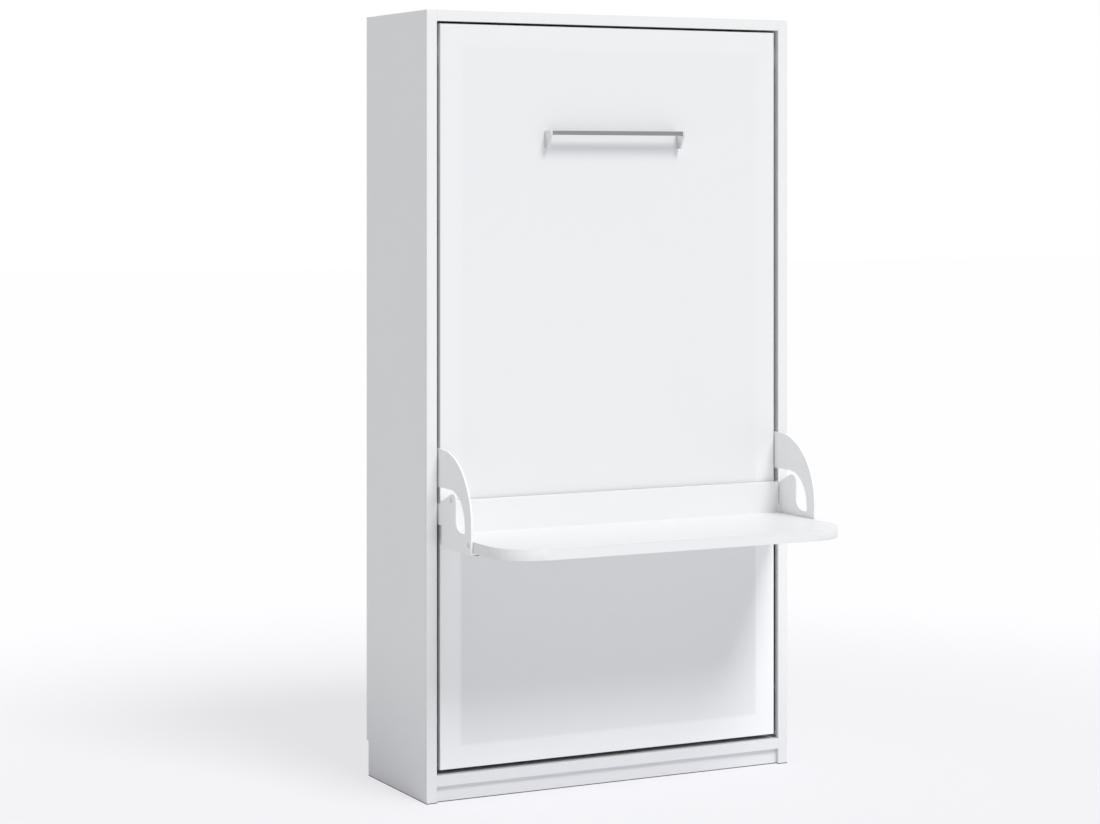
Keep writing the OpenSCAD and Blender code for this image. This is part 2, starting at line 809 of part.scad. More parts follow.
// Screws up through the flanges, a bolt through the front of each arm with its washer, and a
// round stop button on each hook
module arm_screws() {
    head_t = 2;
    head_r = 5.5;
    bolt_t = 1.6;
    bolt_r = 7;
    front = sweep_y - arm_r;
    bolt = [front * 0.92, desk_z - desk_t / 2 + 5];
    color(zinc) for (s = [-1, 1]) on_side(s) {
        for (share = [0.8, 0.51, 0.25]) {
            translate([arm_x0 - flange_w / 2, front * share, arm_z - head_t])
                cylinder(r = head_r - 1, h = head_t);
        }
        bar_x(bolt, desk_x, arm_x0, bolt_r);
        bar_x(bolt, arm_x1, arm_x1 + bolt_t, bolt_r);
        bar_x(hook_tip + [2, 8], arm_x1, arm_x1 + bolt_t, bolt_r);
    }
}

module arm_glides() {
    front = sweep_y - arm_r;
    color(black) for (s = [-1, 1], y = [front * 0.93, front * 0.41]) on_side(s) {
        translate([arm_x0 - flange_w / 2, y, arm_z - glide_t]) cylinder(r = 9, h = glide_t);
    }
}

// ---- the part ----

side_panel(-1);  // side_panel_left
side_panel(1);  // side_panel_right
top_panel();
bottom_shelf();
plinth();
back_panel(joint_z + 1, top_z);  // back_panel_upper
back_panel(shelf_top, joint_z - 1);  // back_panel_lower
back_joiner();
wall_rail(rail_high_z);  // wall_rail_upper
wall_rail(rail_low_z);  // wall_rail_lower
closing_stops();
pivot_plate(-1);  // pivot_plate_left
pivot_plate(1);  // pivot_plate_right
strut_anchor(-1);  // strut_anchor_left
strut_anchor(1);  // strut_anchor_right
door_panel();
handle_bar();
handle_legs();
rail(-1);  // rail_left
rail(1);  // rail_right
rail_plugs();
cross_tubes();
hinge_bracket(-1);  // hinge_bracket_left
hinge_bracket(1);  // hinge_bracket_right
arm_bracket(-1);  // arm_bracket_left
arm_bracket(1);  // arm_bracket_right
arm_pin(-1);  // arm_pin_left
arm_pin(1);  // arm_pin_right
slats();
slat_caps();
mattress();
mattress_stop();
mattress_hoop();
strap(strap_z[1]);  // strap_upper
strap(strap_z[0]);  // strap_lower
strut_cylinder(-1);  // strut_cylinder_left
strut_cylinder(1);  // strut_cylinder_right
strut_rod(-1);  // strut_rod_left
strut_rod(1);  // strut_rod_right
link(-1);  // link_left
link(1);  // link_right
desktop();
upstand();
arm(-1);  // arm_left
arm(1);  // arm_right
arm_screws();
arm_glides();
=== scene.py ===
"""Dresses an upright wall bed with a level desk: camera, light, materials, soft parts and fittings.

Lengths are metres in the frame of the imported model: X across, Y to the wall, Z up from the floor.
"""

import math

import bmesh
import bpy
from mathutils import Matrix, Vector


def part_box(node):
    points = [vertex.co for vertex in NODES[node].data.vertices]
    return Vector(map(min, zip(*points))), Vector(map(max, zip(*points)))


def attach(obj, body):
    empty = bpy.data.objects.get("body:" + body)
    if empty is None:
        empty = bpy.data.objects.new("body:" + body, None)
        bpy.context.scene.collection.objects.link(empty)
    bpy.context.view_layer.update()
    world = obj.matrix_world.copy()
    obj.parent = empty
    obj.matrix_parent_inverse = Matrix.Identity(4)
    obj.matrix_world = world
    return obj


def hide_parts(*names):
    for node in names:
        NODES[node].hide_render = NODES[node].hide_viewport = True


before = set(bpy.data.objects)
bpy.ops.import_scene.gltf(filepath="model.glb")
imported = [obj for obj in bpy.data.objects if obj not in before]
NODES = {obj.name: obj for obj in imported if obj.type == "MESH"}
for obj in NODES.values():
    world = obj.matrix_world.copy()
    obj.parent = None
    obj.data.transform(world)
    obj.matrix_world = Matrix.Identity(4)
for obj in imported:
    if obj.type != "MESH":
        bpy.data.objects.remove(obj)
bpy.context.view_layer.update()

MM = 0.001


# ---------------------------------------------------------------- camera, light and floor

CAMERA_PLACE = (-3.615, -6.691, 1.7035)
CAMERA_YAW = 27.0425
CAMERA_SENSOR = 36.0
CAMERA_LENS = 88.47
CAMERA_SHIFT_Y = -0.2132
CAMERA_REACH = 60.0

PURE_WHITE = (1.0, 1.0, 1.0, 1.0)
SKY = 0.43
KEY_STRENGTH = 2.1
KEY_SPREAD = 22
KEY_FROM = (0.2, -0.72, 1.0)

FLOOR_HALF = 40.0
FLOOR_COLOUR = (0.92, 0.92, 0.95, 1.0)
FLOOR_ROUGH = 0.8
FLOOR_SPECULAR = 0.1
GLOW_COLOUR = (0.995, 0.99, 1.022, 1.0)
# The glow's share and strength at the near distance from the frame's origin, and at the far one.
FLOOR_NEAR = 1.3
FLOOR_FAR = 3.6
FLOOR_SHARE = (0.72, 1.0)
FLOOR_GLOW = (0.91, 1.0)


def make_camera():
    data = bpy.data.cameras.new("camera")
    data.sensor_width = CAMERA_SENSOR
    data.lens = CAMERA_LENS
    data.shift_y = CAMERA_SHIFT_Y
    data.clip_end = CAMERA_REACH
    camera = bpy.data.objects.new("camera", data)
    camera.location = CAMERA_PLACE
    camera.rotation_euler = (math.pi / 2, 0.0, -math.radians(CAMERA_YAW))
    bpy.context.scene.collection.objects.link(camera)
    bpy.context.scene.camera = camera


def make_key():
    """A wide, soft lamp, high and to the right of the camera."""
    data = bpy.data.lights.new("key", "SUN")
    data.energy = KEY_STRENGTH
    data.angle = math.radians(KEY_SPREAD)
    lamp = bpy.data.objects.new("key", data)
    lamp.location = KEY_FROM
    lamp.rotation_euler = Vector(KEY_FROM).to_track_quat("Z", "Y").to_euler()
    bpy.context.scene.collection.objects.link(lamp)


def seen_directly(tree):
    """1 for rays from the camera, off a gloss or through a clear piece, and 0 for all others."""
    path = tree.nodes.new("ShaderNodeLightPath")
    found = path.outputs["Is Camera Ray"]
    for kind in ("Is Glossy Ray", "Is Transmission Ray"):
        either = tree.nodes.new("ShaderNodeMath")
        either.operation = "MAXIMUM"
        tree.links.new(found, either.inputs[0])
        tree.links.new(path.outputs[kind], either.inputs[1])
        found = either.outputs[0]
    return found


def make_world():
    world = bpy.data.worlds.new("studio")
    world.use_nodes = True
    bpy.context.scene.world = world
    tree = world.node_tree
    sky = tree.nodes["Background"]
    sky.inputs["Color"].default_value = PURE_WHITE
    sky.inputs["Strength"].default_value = SKY
    white = tree.nodes.new("ShaderNodeBackground")
    white.inputs["Color"].default_value = PURE_WHITE
    mix = tree.nodes.new("ShaderNodeMixShader")
    tree.links.new(seen_directly(tree), mix.inputs[0])
    tree.links.new(sky.outputs[0], mix.inputs[1])
    tree.links.new(white.outputs[0], mix.inputs[2])
    tree.links.new(mix.outputs[0], tree.nodes["World Output"].inputs["Surface"])


def make_floor():
    """A pale floor. Part of what the camera sees of it is its own glow, so that shadows stay light,
    and the glow grows with distance until the floor meets the white backdrop."""
    mesh = bpy.data.meshes.new("floor")
    mesh.from_pydata([(x * FLOOR_HALF, y * FLOOR_HALF, 0)
                      for x, y in ((-1, -1), (1, -1), (1, 1), (-1, 1))], [], [(0, 1, 2, 3)])
    floor = bpy.data.objects.new("floor", mesh)
    bpy.context.scene.collection.objects.link(floor)
    material = bpy.data.materials.new("floor")
    material.use_nodes = True
    tree = material.node_tree
    shader = tree.nodes["Principled BSDF"]
    shader.inputs["Base Color"].default_value = FLOOR_COLOUR
    shader.inputs["Roughness"].default_value = FLOOR_ROUGH
    shader.inputs["Specular IOR Level"].default_value = FLOOR_SPECULAR
    place = tree.nodes.new("ShaderNodeTexCoord").outputs["Object"]
    away = tree.nodes.new("ShaderNodeVectorMath")
    away.operation = "LENGTH"
    tree.links.new(place, away.inputs[0])

    def by_distance(near_far):
        node = tree.nodes.new("ShaderNodeMapRange")
        node.interpolation_type = "SMOOTHSTEP"
        tree.links.new(away.outputs["Value"], node.inputs["Value"])
        node.inputs["From Min"].default_value = FLOOR_NEAR
        node.inputs["From Max"].default_value = FLOOR_FAR
        node.inputs["To Min"].default_value = near_far[0]
        node.inputs["To Max"].default_value = near_far[1]
        return node.outputs[0]

    glow = tree.nodes.new("ShaderNodeEmission")
    glow.inputs["Color"].default_value = GLOW_COLOUR
    tree.links.new(by_distance(FLOOR_GLOW), glow.inputs["Strength"])
    share = tree.nodes.new("ShaderNodeMath")
    share.operation = "MULTIPLY"
    tree.links.new(seen_directly(tree), share.inputs[0])
    tree.links.new(by_distance(FLOOR_SHARE), share.inputs[1])
    mix = tree.nodes.new("ShaderNodeMixShader")
    tree.links.new(share.outputs[0], mix.inputs[0])
    tree.links.new(shader.outputs[0], mix.inputs[1])
    tree.links.new(glow.outputs[0], mix.inputs[2])
    tree.links.new(mix.outputs[0], tree.nodes["Material Output"].inputs["Surface"])
    mesh.materials.append(material)


make_camera()
make_world()
make_floor()
make_key()
bpy.context.scene.view_settings.view_transform = "Standard"


# ---------------------------------------------------------------- materials

class Paint:
    """A small builder of procedural materials. Textures read object coordinates, in metres."""

    def __init__(self, name, rough, metallic=0.0, specular=0.5):
        self.material = bpy.data.materials.new(name)
        self.material.use_nodes = True
        self.nodes = self.material.node_tree.nodes
        self.links = self.material.node_tree.links
        self.shader = self.nodes["Principled BSDF"]
        self.shader.inputs["Roughness"].default_value = rough
        self.shader.inputs["Metallic"].default_value = metallic
        self.shader.inputs["Specular IOR Level"].default_value = specular
        self.place = self.nodes.new("ShaderNodeTexCoord").outputs["Object"]
        self.height = None

    def value(self, socket, other):
        if hasattr(other, "links"):
            self.links.new(other, socket)
        else:
            socket.default_value = other

    def math(self, operation, a, b=0.0):
        node = self.nodes.new("ShaderNodeMath")
        node.operation = operation
        for socket, given in zip(node.inputs, (a, b)):
            self.value(socket, given)
        return node.outputs[0]

    def split(self):
        node = self.nodes.new("ShaderNodeSeparateXYZ")
        self.links.new(self.place, node.inputs[0])
        return node.outputs

    def stretched(self, scale):
        node = self.nodes.new("ShaderNodeMapping")
        node.inputs["Scale"].default_value = scale
        self.links.new(self.place, node.inputs["Vector"])
        return node.outputs[0]

    def noise(self, scale, detail=3.0, rough=0.55, stretch=(1, 1, 1)):
        node = self.nodes.new("ShaderNodeTexNoise")
        node.inputs["Scale"].default_value = scale
        node.inputs["Detail"].default_value = detail
        node.inputs["Roughness"].default_value = rough
        self.links.new(self.stretched(stretch), node.inputs["Vector"])
        return node.outputs["Fac"]

    def wave(self, scale, axis):
        node = self.nodes.new("ShaderNodeTexWave")
        node.bands_direction = axis
        node.inputs["Scale"].default_value = scale
        node.inputs["Distortion"].default_value = 0.0
        self.links.new(self.place, node.inputs["Vector"])
        return node.outputs["Fac"]

    def spread(self, source, low, high):
        """Maps 0..1 to low..high."""
        node = self.nodes.new("ShaderNodeMapRange")
        self.links.new(source, node.inputs["Value"])
        node.inputs["To Min"].default_value = low
        node.inputs["To Max"].default_value = high
        return node.outputs[0]

    def step(self, source, low, high):
        """A smooth step from 0 at low to 1 at high."""
        node = self.nodes.new("ShaderNodeMapRange")
        node.interpolation_type = "SMOOTHSTEP"
        self.links.new(source, node.inputs["Value"])
        node.inputs["From Min"].default_value = low
        node.inputs["From Max"].default_value = high
        return node.outputs[0]

    def mix(self, factor, a, b):
        node = self.nodes.new("ShaderNodeMix")
        node.data_type = "RGBA"
        self.value(node.inputs["Factor"], factor)
        for socket, given in ((node.inputs["A"], a), (node.inputs["B"], b)):
            if isinstance(given, tuple):
                given = (*given, 1.0)
            self.value(socket, given)
        return node.outputs["Result"]

    def colour(self, source):
        if isinstance(source, tuple):
            source = (*source, 1.0)
        self.value(self.shader.inputs["Base Color"], source)

    def roughness(self, source):
        self.links.new(source, self.shader.inputs["Roughness"])

    def bump(self, source, depth, strength=1.0):
        node = self.nodes.new("ShaderNodeBump")
        node.inputs["Distance"].default_value = depth
        node.inputs["Strength"].default_value = strength
        self.links.new(source, node.inputs["Height"])
        if self.height is not None:
            self.links.new(self.height, node.inputs["Normal"])
        self.height = node.outputs[0]
        self.links.new(self.height, self.shader.inputs["Normal"])


def shade(colour, factor):
    return tuple(c * factor for c in colour)


def board_white(name, colour, rough=0.42, painted_foot_shade=False):
    """Faced board: a faint cloudiness, and the fine pebble of a press plate.

    A board that stands on the floor may carry painted shade: darker low down, and a dark line of
    painted contact shadow at its foot."""
    p = Paint(name, rough, specular=0.35)
    cloud = p.noise(2.2, 4.0)
    tone = p.mix(cloud, shade(colour, 0.985), shade(colour, 1.01))
    if painted_foot_shade:
        z = p.split()[2]
        # Painted shade: the board gets darker towards the floor.
        tone = p.mix(p.step(z, *PAINTED_FOOT_SHADE_FADE), PAINTED_FOOT_SHADE_WHITE, tone)
        # Painted contact shadow: a dark line along the lowest edge.
        tone = p.mix(p.step(z, *PAINTED_FOOT_SHADOW_LINE), PAINTED_FOOT_SHADOW_DARK, tone)
    p.colour(tone)
    p.roughness(p.spread(p.noise(60.0, 2.0), rough - 0.05, rough + 0.06))
    p.bump(p.noise(900.0, 2.0), 0.06 * MM, 0.35)
    return p.material


# Width and blur of the strip of painted light along the door's edges.
DOOR_PAINTED_LIGHT = 62 * MM
DOOR_PAINTED_LIGHT_BLUR = 7 * MM
# The door's edge strip is painted light. Heights between which its tone goes from the one at the
# foot to the lighter one in the desk's shade, and from there to the one above the desk.
PAINTED_LIGHT_FOOT_Z = (0.12, 0.32)
PAINTED_LIGHT_DESK_Z = (0.6, 1.0)


def door_white(name, colour, painted_light_foot, painted_light_in_shade, painted_light_high):
    """Lacquered door, with a strip of painted light along its edges, lightest in the desk's shade.
    """
    low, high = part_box("door_panel")
    p = Paint(name, 0.38, specular=0.35)
    x, _, z = p.split()
    from_side = p.math("SUBTRACT", high.x, p.math("ABSOLUTE", x))
    from_foot = p.math("SUBTRACT", z, low.z)
    from_head = p.math("SUBTRACT", high.z, z)
    edge = p.math("MINIMUM", from_side, p.math("MINIMUM", from_foot, from_head))
    inside = p.step(edge, DOOR_PAINTED_LIGHT - DOOR_PAINTED_LIGHT_BLUR, DOOR_PAINTED_LIGHT + DOOR_PAINTED_LIGHT_BLUR)
    cloud = p.mix(p.noise(1.6, 4.0), shade(colour, 0.992), shade(colour, 1.006))
    # Painted light: the edge strip's tone, lighter at the foot and lightest in the desk's shade.
    painted_light = p.mix(p.step(z, *PAINTED_LIGHT_FOOT_Z), painted_light_foot, painted_light_in_shade)
    painted_light = p.mix(p.step(z, *PAINTED_LIGHT_DESK_Z), painted_light, painted_light_high)
    p.colour(p.mix(inside, painted_light, cloud))
    p.roughness(p.spread(p.noise(40.0, 2.0), 0.34, 0.44))
    p.bump(p.noise(700.0, 2.0), 0.05 * MM, 0.3)
    return p.material


def powder_coat(name, colour, rough=0.45):
    """Powder coat: a fine orange peel over sheet metal."""
    p = Paint(name, rough, specular=0.45)
    p.colour(p.mix(p.noise(8.0, 3.0), shade(colour, 0.98), shade(colour, 1.01)))
    p.roughness(p.spread(p.noise(300.0, 2.0), rough - 0.06, rough + 0.08))
    p.bump(p.noise(650.0, 1.5), 0.12 * MM, 0.5)
    return p.material


def brushed(name, colour, rough):
    """Metal with a grain of fine lines along X."""
    p = Paint(name, rough, metallic=1.0)
    grain = p.noise(1.0, 2.0, 0.7, (4, 700, 700))
    p.colour(p.mix(grain, shade(colour, 0.86), shade(colour, 1.08)))
    p.roughness(p.spread(grain, rough - 0.08, rough + 0.12))
    p.bump(grain, 0.04 * MM, 0.4)
    return p.material


def zinc_plate(name, colour):
    """Bright zinc: a soft spangle, and darker handling marks."""
    p = Paint(name, 0.34, metallic=1.0)
    spangle = p.noise(120.0, 3.0)
    marks = p.step(p.noise(14.0, 5.0, 0.7), 0.35, 0.75)
    p.colour(p.mix(marks, shade(colour, 0.88), p.mix(spangle, shade(colour, 0.95), colour)))
    p.roughness(p.spread(spangle, 0.26, 0.44))
    p.bump(p.noise(500.0, 2.0), 0.05 * MM, 0.4)
    return p.material


def moulded(name, colour):
    """Moulded plastic with a fine spark-eroded grain."""
    p = Paint(name, 0.5, specular=0.4)
    p.colour(p.mix(p.noise(30.0), shade(colour, 0.9), shade(colour, 1.12)))
    p.roughness(p.spread(p.noise(400.0, 2.0), 0.42, 0.6))
    p.bump(p.noise(1300.0, 2.0), 0.08 * MM, 0.5)
    return p.material


def gloss_paint(name, colour):
    """Smooth enamel, with a slight waviness."""
    p = Paint(name, 0.22)
    p.colour(p.mix(p.noise(10.0), shade(colour, 0.85), shade(colour, 1.25)))
    p.roughness(p.spread(p.noise(80.0), 0.18, 0.3))
    p.bump(p.noise(250.0, 1.0), 0.04 * MM, 0.25)
    return p.material


def chrome_rod(name, dull, bright):
    """Hard chrome: nearly a mirror, with a faint cloudiness."""
    p = Paint(name, 0.12, metallic=1.0)
    p.colour(p.mix(p.noise(90.0), dull, bright))
    p.roughness(p.spread(p.noise(60.0), 0.08, 0.2))
    return p.material


def birch(name, light, dark, fibre_colour):
    """Birch plywood, with its grain and darker fibres along X."""
    p = Paint(name, 0.48, specular=0.35)
    grain = p.noise(6.0, 6.0, 0.6, (1.4, 30, 30))
    fibre = p.noise(20.0, 4.0, 0.7, (2.0, 60, 60))
    body = p.mix(grain, dark, light)
    p.colour(p.mix(p.spread(fibre, 0.0, 0.35), body, fibre_colour))
    p.roughness(p.spread(grain, 0.40, 0.56))
    p.bump(fibre, 0.15 * MM, 0.4)
    return p.material


def ticking(name, colour):
    """Knitted ticking: a fine rib crossed by rows of loops, darker in the quilting seams."""
    p = Paint(name, 0.86, specular=0.2)
    knit = p.math("MULTIPLY", p.wave(190.0, "X"), p.wave(150.0, "Z"))
    cloud = p.noise(9.0, 3.0, 0.5)
    tone = p.mix(cloud, shade(colour, 0.975), shade(colour, 1.01))
    x, y, z = p.split()
    across = p.math("DIVIDE", x, QUILT_X)
    along = p.math("DIVIDE", p.math("SUBTRACT", z, QUILT_MID_Z), QUILT_Z)
    reach = []
    for line in (p.math("ADD", across, along), p.math("SUBTRACT", across, along)):
        middle = p.math("SUBTRACT", p.math("FRACT", p.math("ADD", line, 0.5)), 0.5)
        reach.append(p.math("ABSOLUTE", middle))
    seam = p.math("SUBTRACT", 1.0, p.step(p.math("MINIMUM", *reach), 0.0, SEAM_TONE_REACH))
    on_face = p.step(y, *(MATTRESS_HIGH.y - depth for depth in SEAM_TONE_DEPTH))
    tone = p.mix(p.spread(p.math("MULTIPLY", seam, on_face), 0.0, 0.22), tone, shade(colour, 0.5))
    p.colour(p.mix(p.spread(knit, 0.0, 0.14), tone, shade(colour, 0.72)))
    p.bump(p.noise(240.0, 3.0), 0.3 * MM, 0.4)
    p.bump(knit, 0.4 * MM, 0.5)
    p.shader.inputs["Sheen Weight"].default_value = 0.25
    return p.material


def woven(name, colour):
    """Polyester webbing: a tight twill whose ribs cross the strap."""
    p = Paint(name, 0.7, specular=0.3)
    weave = p.math("MAXIMUM", p.wave(260.0, "X"), p.wave(330.0, "Z"))
    p.colour(p.mix(weave, shade(colour, 0.6), shade(colour, 1.5)))
    p.bump(weave, 0.4 * MM, 0.7)
    p.shader.inputs["Sheen Weight"].default_value = 0.15
    return p.material


# The mattress's sleeping face is quilted along diagonals: whole cells across it and along it.
MATTRESS_LOW, MATTRESS_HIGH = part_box("mattress")
EDGE_R = 24 * MM
QUILT_CELLS = (7, 16)
QUILT_X = (MATTRESS_HIGH.x - MATTRESS_LOW.x - 2 * EDGE_R) / QUILT_CELLS[0]
QUILT_Z = (MATTRESS_HIGH.z - MATTRESS_LOW.z - 2 * EDGE_R) / QUILT_CELLS[1]
QUILT_MID_Z = (MATTRESS_LOW.z + MATTRESS_HIGH.z) / 2
# The seams' darker tone: how far it reaches, as a share of a cell, and how deep below the face.
SEAM_TONE_REACH = 0.022
SEAM_TONE_DEPTH = (21 * MM, 16 * MM)

WHITE = (0.832, 0.846, 0.842)
# Painted shade at the cabinet's foot: the heights of its fade and its tone, and the same for its
# line of painted contact shadow.
PAINTED_FOOT_SHADE_FADE = (-0.1, 0.5)
PAINTED_FOOT_SHADE_WHITE = (0.742, 0.747, 0.770)
PAINTED_FOOT_SHADOW_LINE = (2.1 * MM, 2.9 * MM)
PAINTED_FOOT_SHADOW_DARK = (0.06, 0.06, 0.07)
PAINTS = {
    # The cabinet's paint carries painted shade and a painted contact shadow at its foot.
    "cabinet": board_white("cabinet_white", WHITE, painted_foot_shade=True),
    "back": board_white("back_white", shade(WHITE, 0.98), 0.55),
    # The door's paint carries a strip of painted light along its edges.
    "door": door_white("door_white", (0.808, 0.822, 0.832), (0.872, 0.884, 0.892),
                       (0.925, 0.937, 0.942), (0.826, 0.840, 0.848)),
    "desk": board_white("desk_white", (0.812, 0.820, 0.828), 0.36),
    "upstand": board_white("upstand_white", (0.836, 0.844, 0.852), 0.36),
    "arm": powder_coat("arm_white", (0.925, 0.935, 0.935)),
    "handle": brushed("handle_steel", (0.30, 0.305, 0.31), 0.36),
    "handle_leg": brushed("handle_leg_steel", (0.78, 0.785, 0.79), 0.34),
    "frame": powder_coat("frame_grey", (0.32, 0.33, 0.34), 0.5),
    "zinc": zinc_plate("zinc_steel", (0.66, 0.67, 0.68)),
    "plastic": moulded("black_plastic", (0.035, 0.035, 0.038)),
    "joiner": board_white("joiner_white", (0.80, 0.80, 0.80), 0.5),
    "birch": birch("slat_birch", (0.76, 0.60, 0.39), (0.60, 0.42, 0.24), (0.50, 0.33, 0.18)),
    "ticking": ticking("ticking", (0.84, 0.84, 0.82)),
    "piping": woven("piping", (0.30, 0.32, 0.35)),
    "webbing": woven("webbing", (0.07, 0.075, 0.085)),
    "strut": gloss_paint("strut_black", (0.022, 0.022, 0.024)),
    "chrome": chrome_rod("strut_rod", (0.72, 0.73, 0.74), (0.82, 0.82, 0.83)),
}

NODE_PAINT = {
    "cabinet": ["side_panel_left", "side_panel_right", "top_panel", "bottom_shelf", "plinth",
                "wall_rail_upper", "wall_rail_lower"],
    "back": ["back_panel_upper", "back_panel_lower"],
    "joiner": ["back_joiner"],
    "door": ["door_panel"],
    "desk": ["desktop"],
    "upstand": ["upstand"],
    "arm": ["arm_left", "arm_right"],
    "handle": ["handle_bar"],
    "handle_leg": ["handle_legs"],
    "frame": ["rail_left", "rail_right", "cross_tubes", "mattress_hoop"],
    "zinc": ["pivot_plate_left", "pivot_plate_right", "strut_anchor_left", "strut_anchor_right",
             "hinge_bracket_left", "hinge_bracket_right", "arm_bracket_left",
             "arm_bracket_right", "arm_pin_left", "arm_pin_right", "mattress_stop",
             "link_left", "link_right", "arm_screws", "closing_stops"],
    "plastic": ["slat_caps", "rail_plugs", "arm_glides"],
    "birch": ["slats"],
    "ticking": ["mattress"],
    "webbing": ["strap_upper", "strap_lower"],
    "strut": ["strut_cylinder_left", "strut_cylinder_right"],
    "chrome": ["strut_rod_left", "strut_rod_right"],
}

# Rounded edges, in millimetres. The other nodes keep the edges that they have.
NODE_EDGE = {
    "side_panel_left": 0.9, "side_panel_right": 0.9, "top_panel": 0.9, "bottom_shelf": 0.9,
    "plinth": 0.8, "door_panel": 0.5, "desktop": 0.6, "upstand": 1.2, "arm_left": 0.5,
    "arm_right": 0.5, "handle_bar": 0.3, "handle_legs": 0.7, "wall_rail_upper": 0.8,
    "wall_rail_lower": 0.8, "slats": 1.0, "rail_left": 1.2, "rail_right": 1.2,
}


WELD_REACH = 0.01 * MM
SHARP_ANGLE = 50


def soften_edges(obj, width):
    weld = obj.modifiers.new("weld", "WELD")
    weld.merge_threshold = WELD_REACH
    bevel = obj.modifiers.new("edges", "BEVEL")
    bevel.width = width * MM
    bevel.segments = 2
    bevel.limit_method = "ANGLE"
    bevel.angle_limit = math.radians(SHARP_ANGLE)
    bevel.use_clamp_overlap = True
    bevel.harden_normals = True


def paint_nodes():
    for paint, names in NODE_PAINT.items():
        for name in names:
            obj = NODES[name]
            obj.data.materials.clear()
            obj.data.materials.append(PAINTS[paint])
            if name in NODE_EDGE:
                soften_edges(obj, NODE_EDGE[name])


paint_nodes()


# ---------------------------------------------------------------- building pieces

CAP_R = 9 * MM


def piece(name, bm, paint, body):
    """Turns a bmesh into an object that rides on a body of the model."""
    mesh = bpy.data.meshes.new(name)
    bmesh.ops.recalc_face_normals(bm, faces=bm.faces)
    bm.to_mesh(mesh)
    bm.free()
    mesh.polygons.foreach_set("use_smooth", [True] * len(mesh.polygons))
    mesh.materials.append(PAINTS[paint])
    obj = bpy.data.objects.new(name, mesh)
    bpy.context.scene.collection.objects.link(obj)
    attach(obj, body)
    return obj


def tube(bm, path, radius, closed=False, sides=10):
    """A round tube along points. The frame is carried from point to point, so it doesn't twist."""
    count = len(path)
    along = []
    for i in range(count):
        before = path[i - 1] if i or closed else path[0]
        after = path[(i + 1) % count] if i < count - 1 or closed else path[-1]
        along.append((after - before).normalized())
    normal = along[0].orthogonal().normalized()
    rings = []
    for point, direction in zip(path, along):
        normal = (normal - direction * normal.dot(direction)).normalized()
        side = direction.cross(normal)
        rings.append([bm.verts.new(point + radius * (math.cos(a) * normal + math.sin(a) * side))
                      for a in (2 * math.pi * k / sides for k in range(sides))])
    turn = 0
    if closed:
        # The carried frame may come back turned: join each vertex to the nearest of the first ring.
        turn = min(range(sides), key=lambda k: (rings[-1][0].co - rings[0][k].co).length)
    for i in range(count if closed else count - 1):
        a, b = rings[i], rings[(i + 1) % count]
        shift = turn if i == count - 1 else 0
        for k in range(sides):
            bm.faces.new((a[k], a[(k + 1) % sides],
                          b[(k + 1 + shift) % sides], b[(k + shift) % sides]))
    if not closed:
        bm.faces.new(rings[0])
        bm.faces.new(rings[-1])


def lathe(bm, profile, place, axis, sides=20):
    """Turns rows of (radius, height, hexagon?) about an axis through place. Closed at both ends."""
    axis = Vector(axis).normalized()
    u = axis.orthogonal().normalized()
    v = axis.cross(u)
    rings = []
    for radius, height, hexagon in profile:
        ring = []
        for k in range(sides):
            a = 2 * math.pi * k / sides
            r = radius
            if hexagon:
                r *= math.cos(math.pi / 6) / math.cos(a % (math.pi / 3) - math.pi / 6)
            ring.append(bm.verts.new(Vector(place) + axis * height
                                     + r * (math.cos(a) * u + math.sin(a) * v)))
        rings.append(ring)
    for a, b in zip(rings, rings[1:]):
        for k in range(sides):
            bm.faces.new((a[k], a[(k + 1) % sides], b[(k + 1) % sides], b[k]))
    bm.faces.new(rings[0])
    bm.faces.new(rings[-1])


def button_head(bm, place, axis, radius, height):
    """A domed screw head with a hexagonal socket. Its seat is at place."""
    socket = radius * 0.5
    rows = [(radius * 0.97, -0.4 * MM, False), (radius, 0.0, False)]
    rows += [(radius * math.cos(a), height * math.sin(a), False) for a in (0.35, 0.7, 1.0)]
    rows += [(socket * 1.15, height, False), (socket, height * 0.9, True),
             (socket, height * 0.25, True)]
    lathe(bm, rows, place, axis, 24)


def cover_cap(bm, place, axis):
    """The thin round cap over a cabinet fitting."""
    lathe(bm, [(CAP_R * 0.8, -2 * MM, False), (CAP_R, 0.0, False), (CAP_R, 0.6 * MM, False),
               (CAP_R * 0.93, 1.2 * MM, False), (CAP_R * 0.5, 1.4 * MM, False)], place, axis)


# ---------------------------------------------------------------- mattress

CORNER_R = 60 * MM
CROWN = 12 * MM
CROWN_RUN = 0.30

# The quilting: how deep its seams lie, how fast the face rises beside them, and its plain rim.
QUILT_PUFF = 8 * MM
PUFF_RUN = 11 * MM
FACE_RIM = 22 * MM
SEAM_STEPS = 12
FACE_CELLS = tuple(cells * SEAM_STEPS for cells in QUILT_CELLS)

# Under a strap the face sinks, and a share of its quilting goes.
STRAPS = {name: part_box(name) for name in ("strap_upper", "strap_lower")}
STRAP_Z = [(low.z + high.z) / 2 for low, high in STRAPS.values()]
STRAP_HALF = 20 * MM
PRESS_RUN = 38 * MM
PRESS_SINK = 7 * MM * 0.55
PRESS_FLATTEN = 0.75

# The simulation: what it holds, how far a point may move, and what the crown leaves free for it.
SEAM_HELD = 3.5 * MM
RIM_HELD = 24 * MM
SWELL_ROOM = 4 * MM
SWELL_FREE = SWELL_ROOM * 0.6
SWELL_FRAMES = 16
SWELL_PRESSURE = 120.0

# The side: its rolled edges in degrees, how it draws in, its middle bead and its ribs.
ROLL = (75, 60, 45, 30, 15)
SIDE_STEPS = 18
DRAW_IN = 7 * MM
DRAW_POWER = 2.5
BEAD = 2.2 * MM
BEAD_SHARE = 0.03
RIB = 0.6 * MM
RIBS = 6

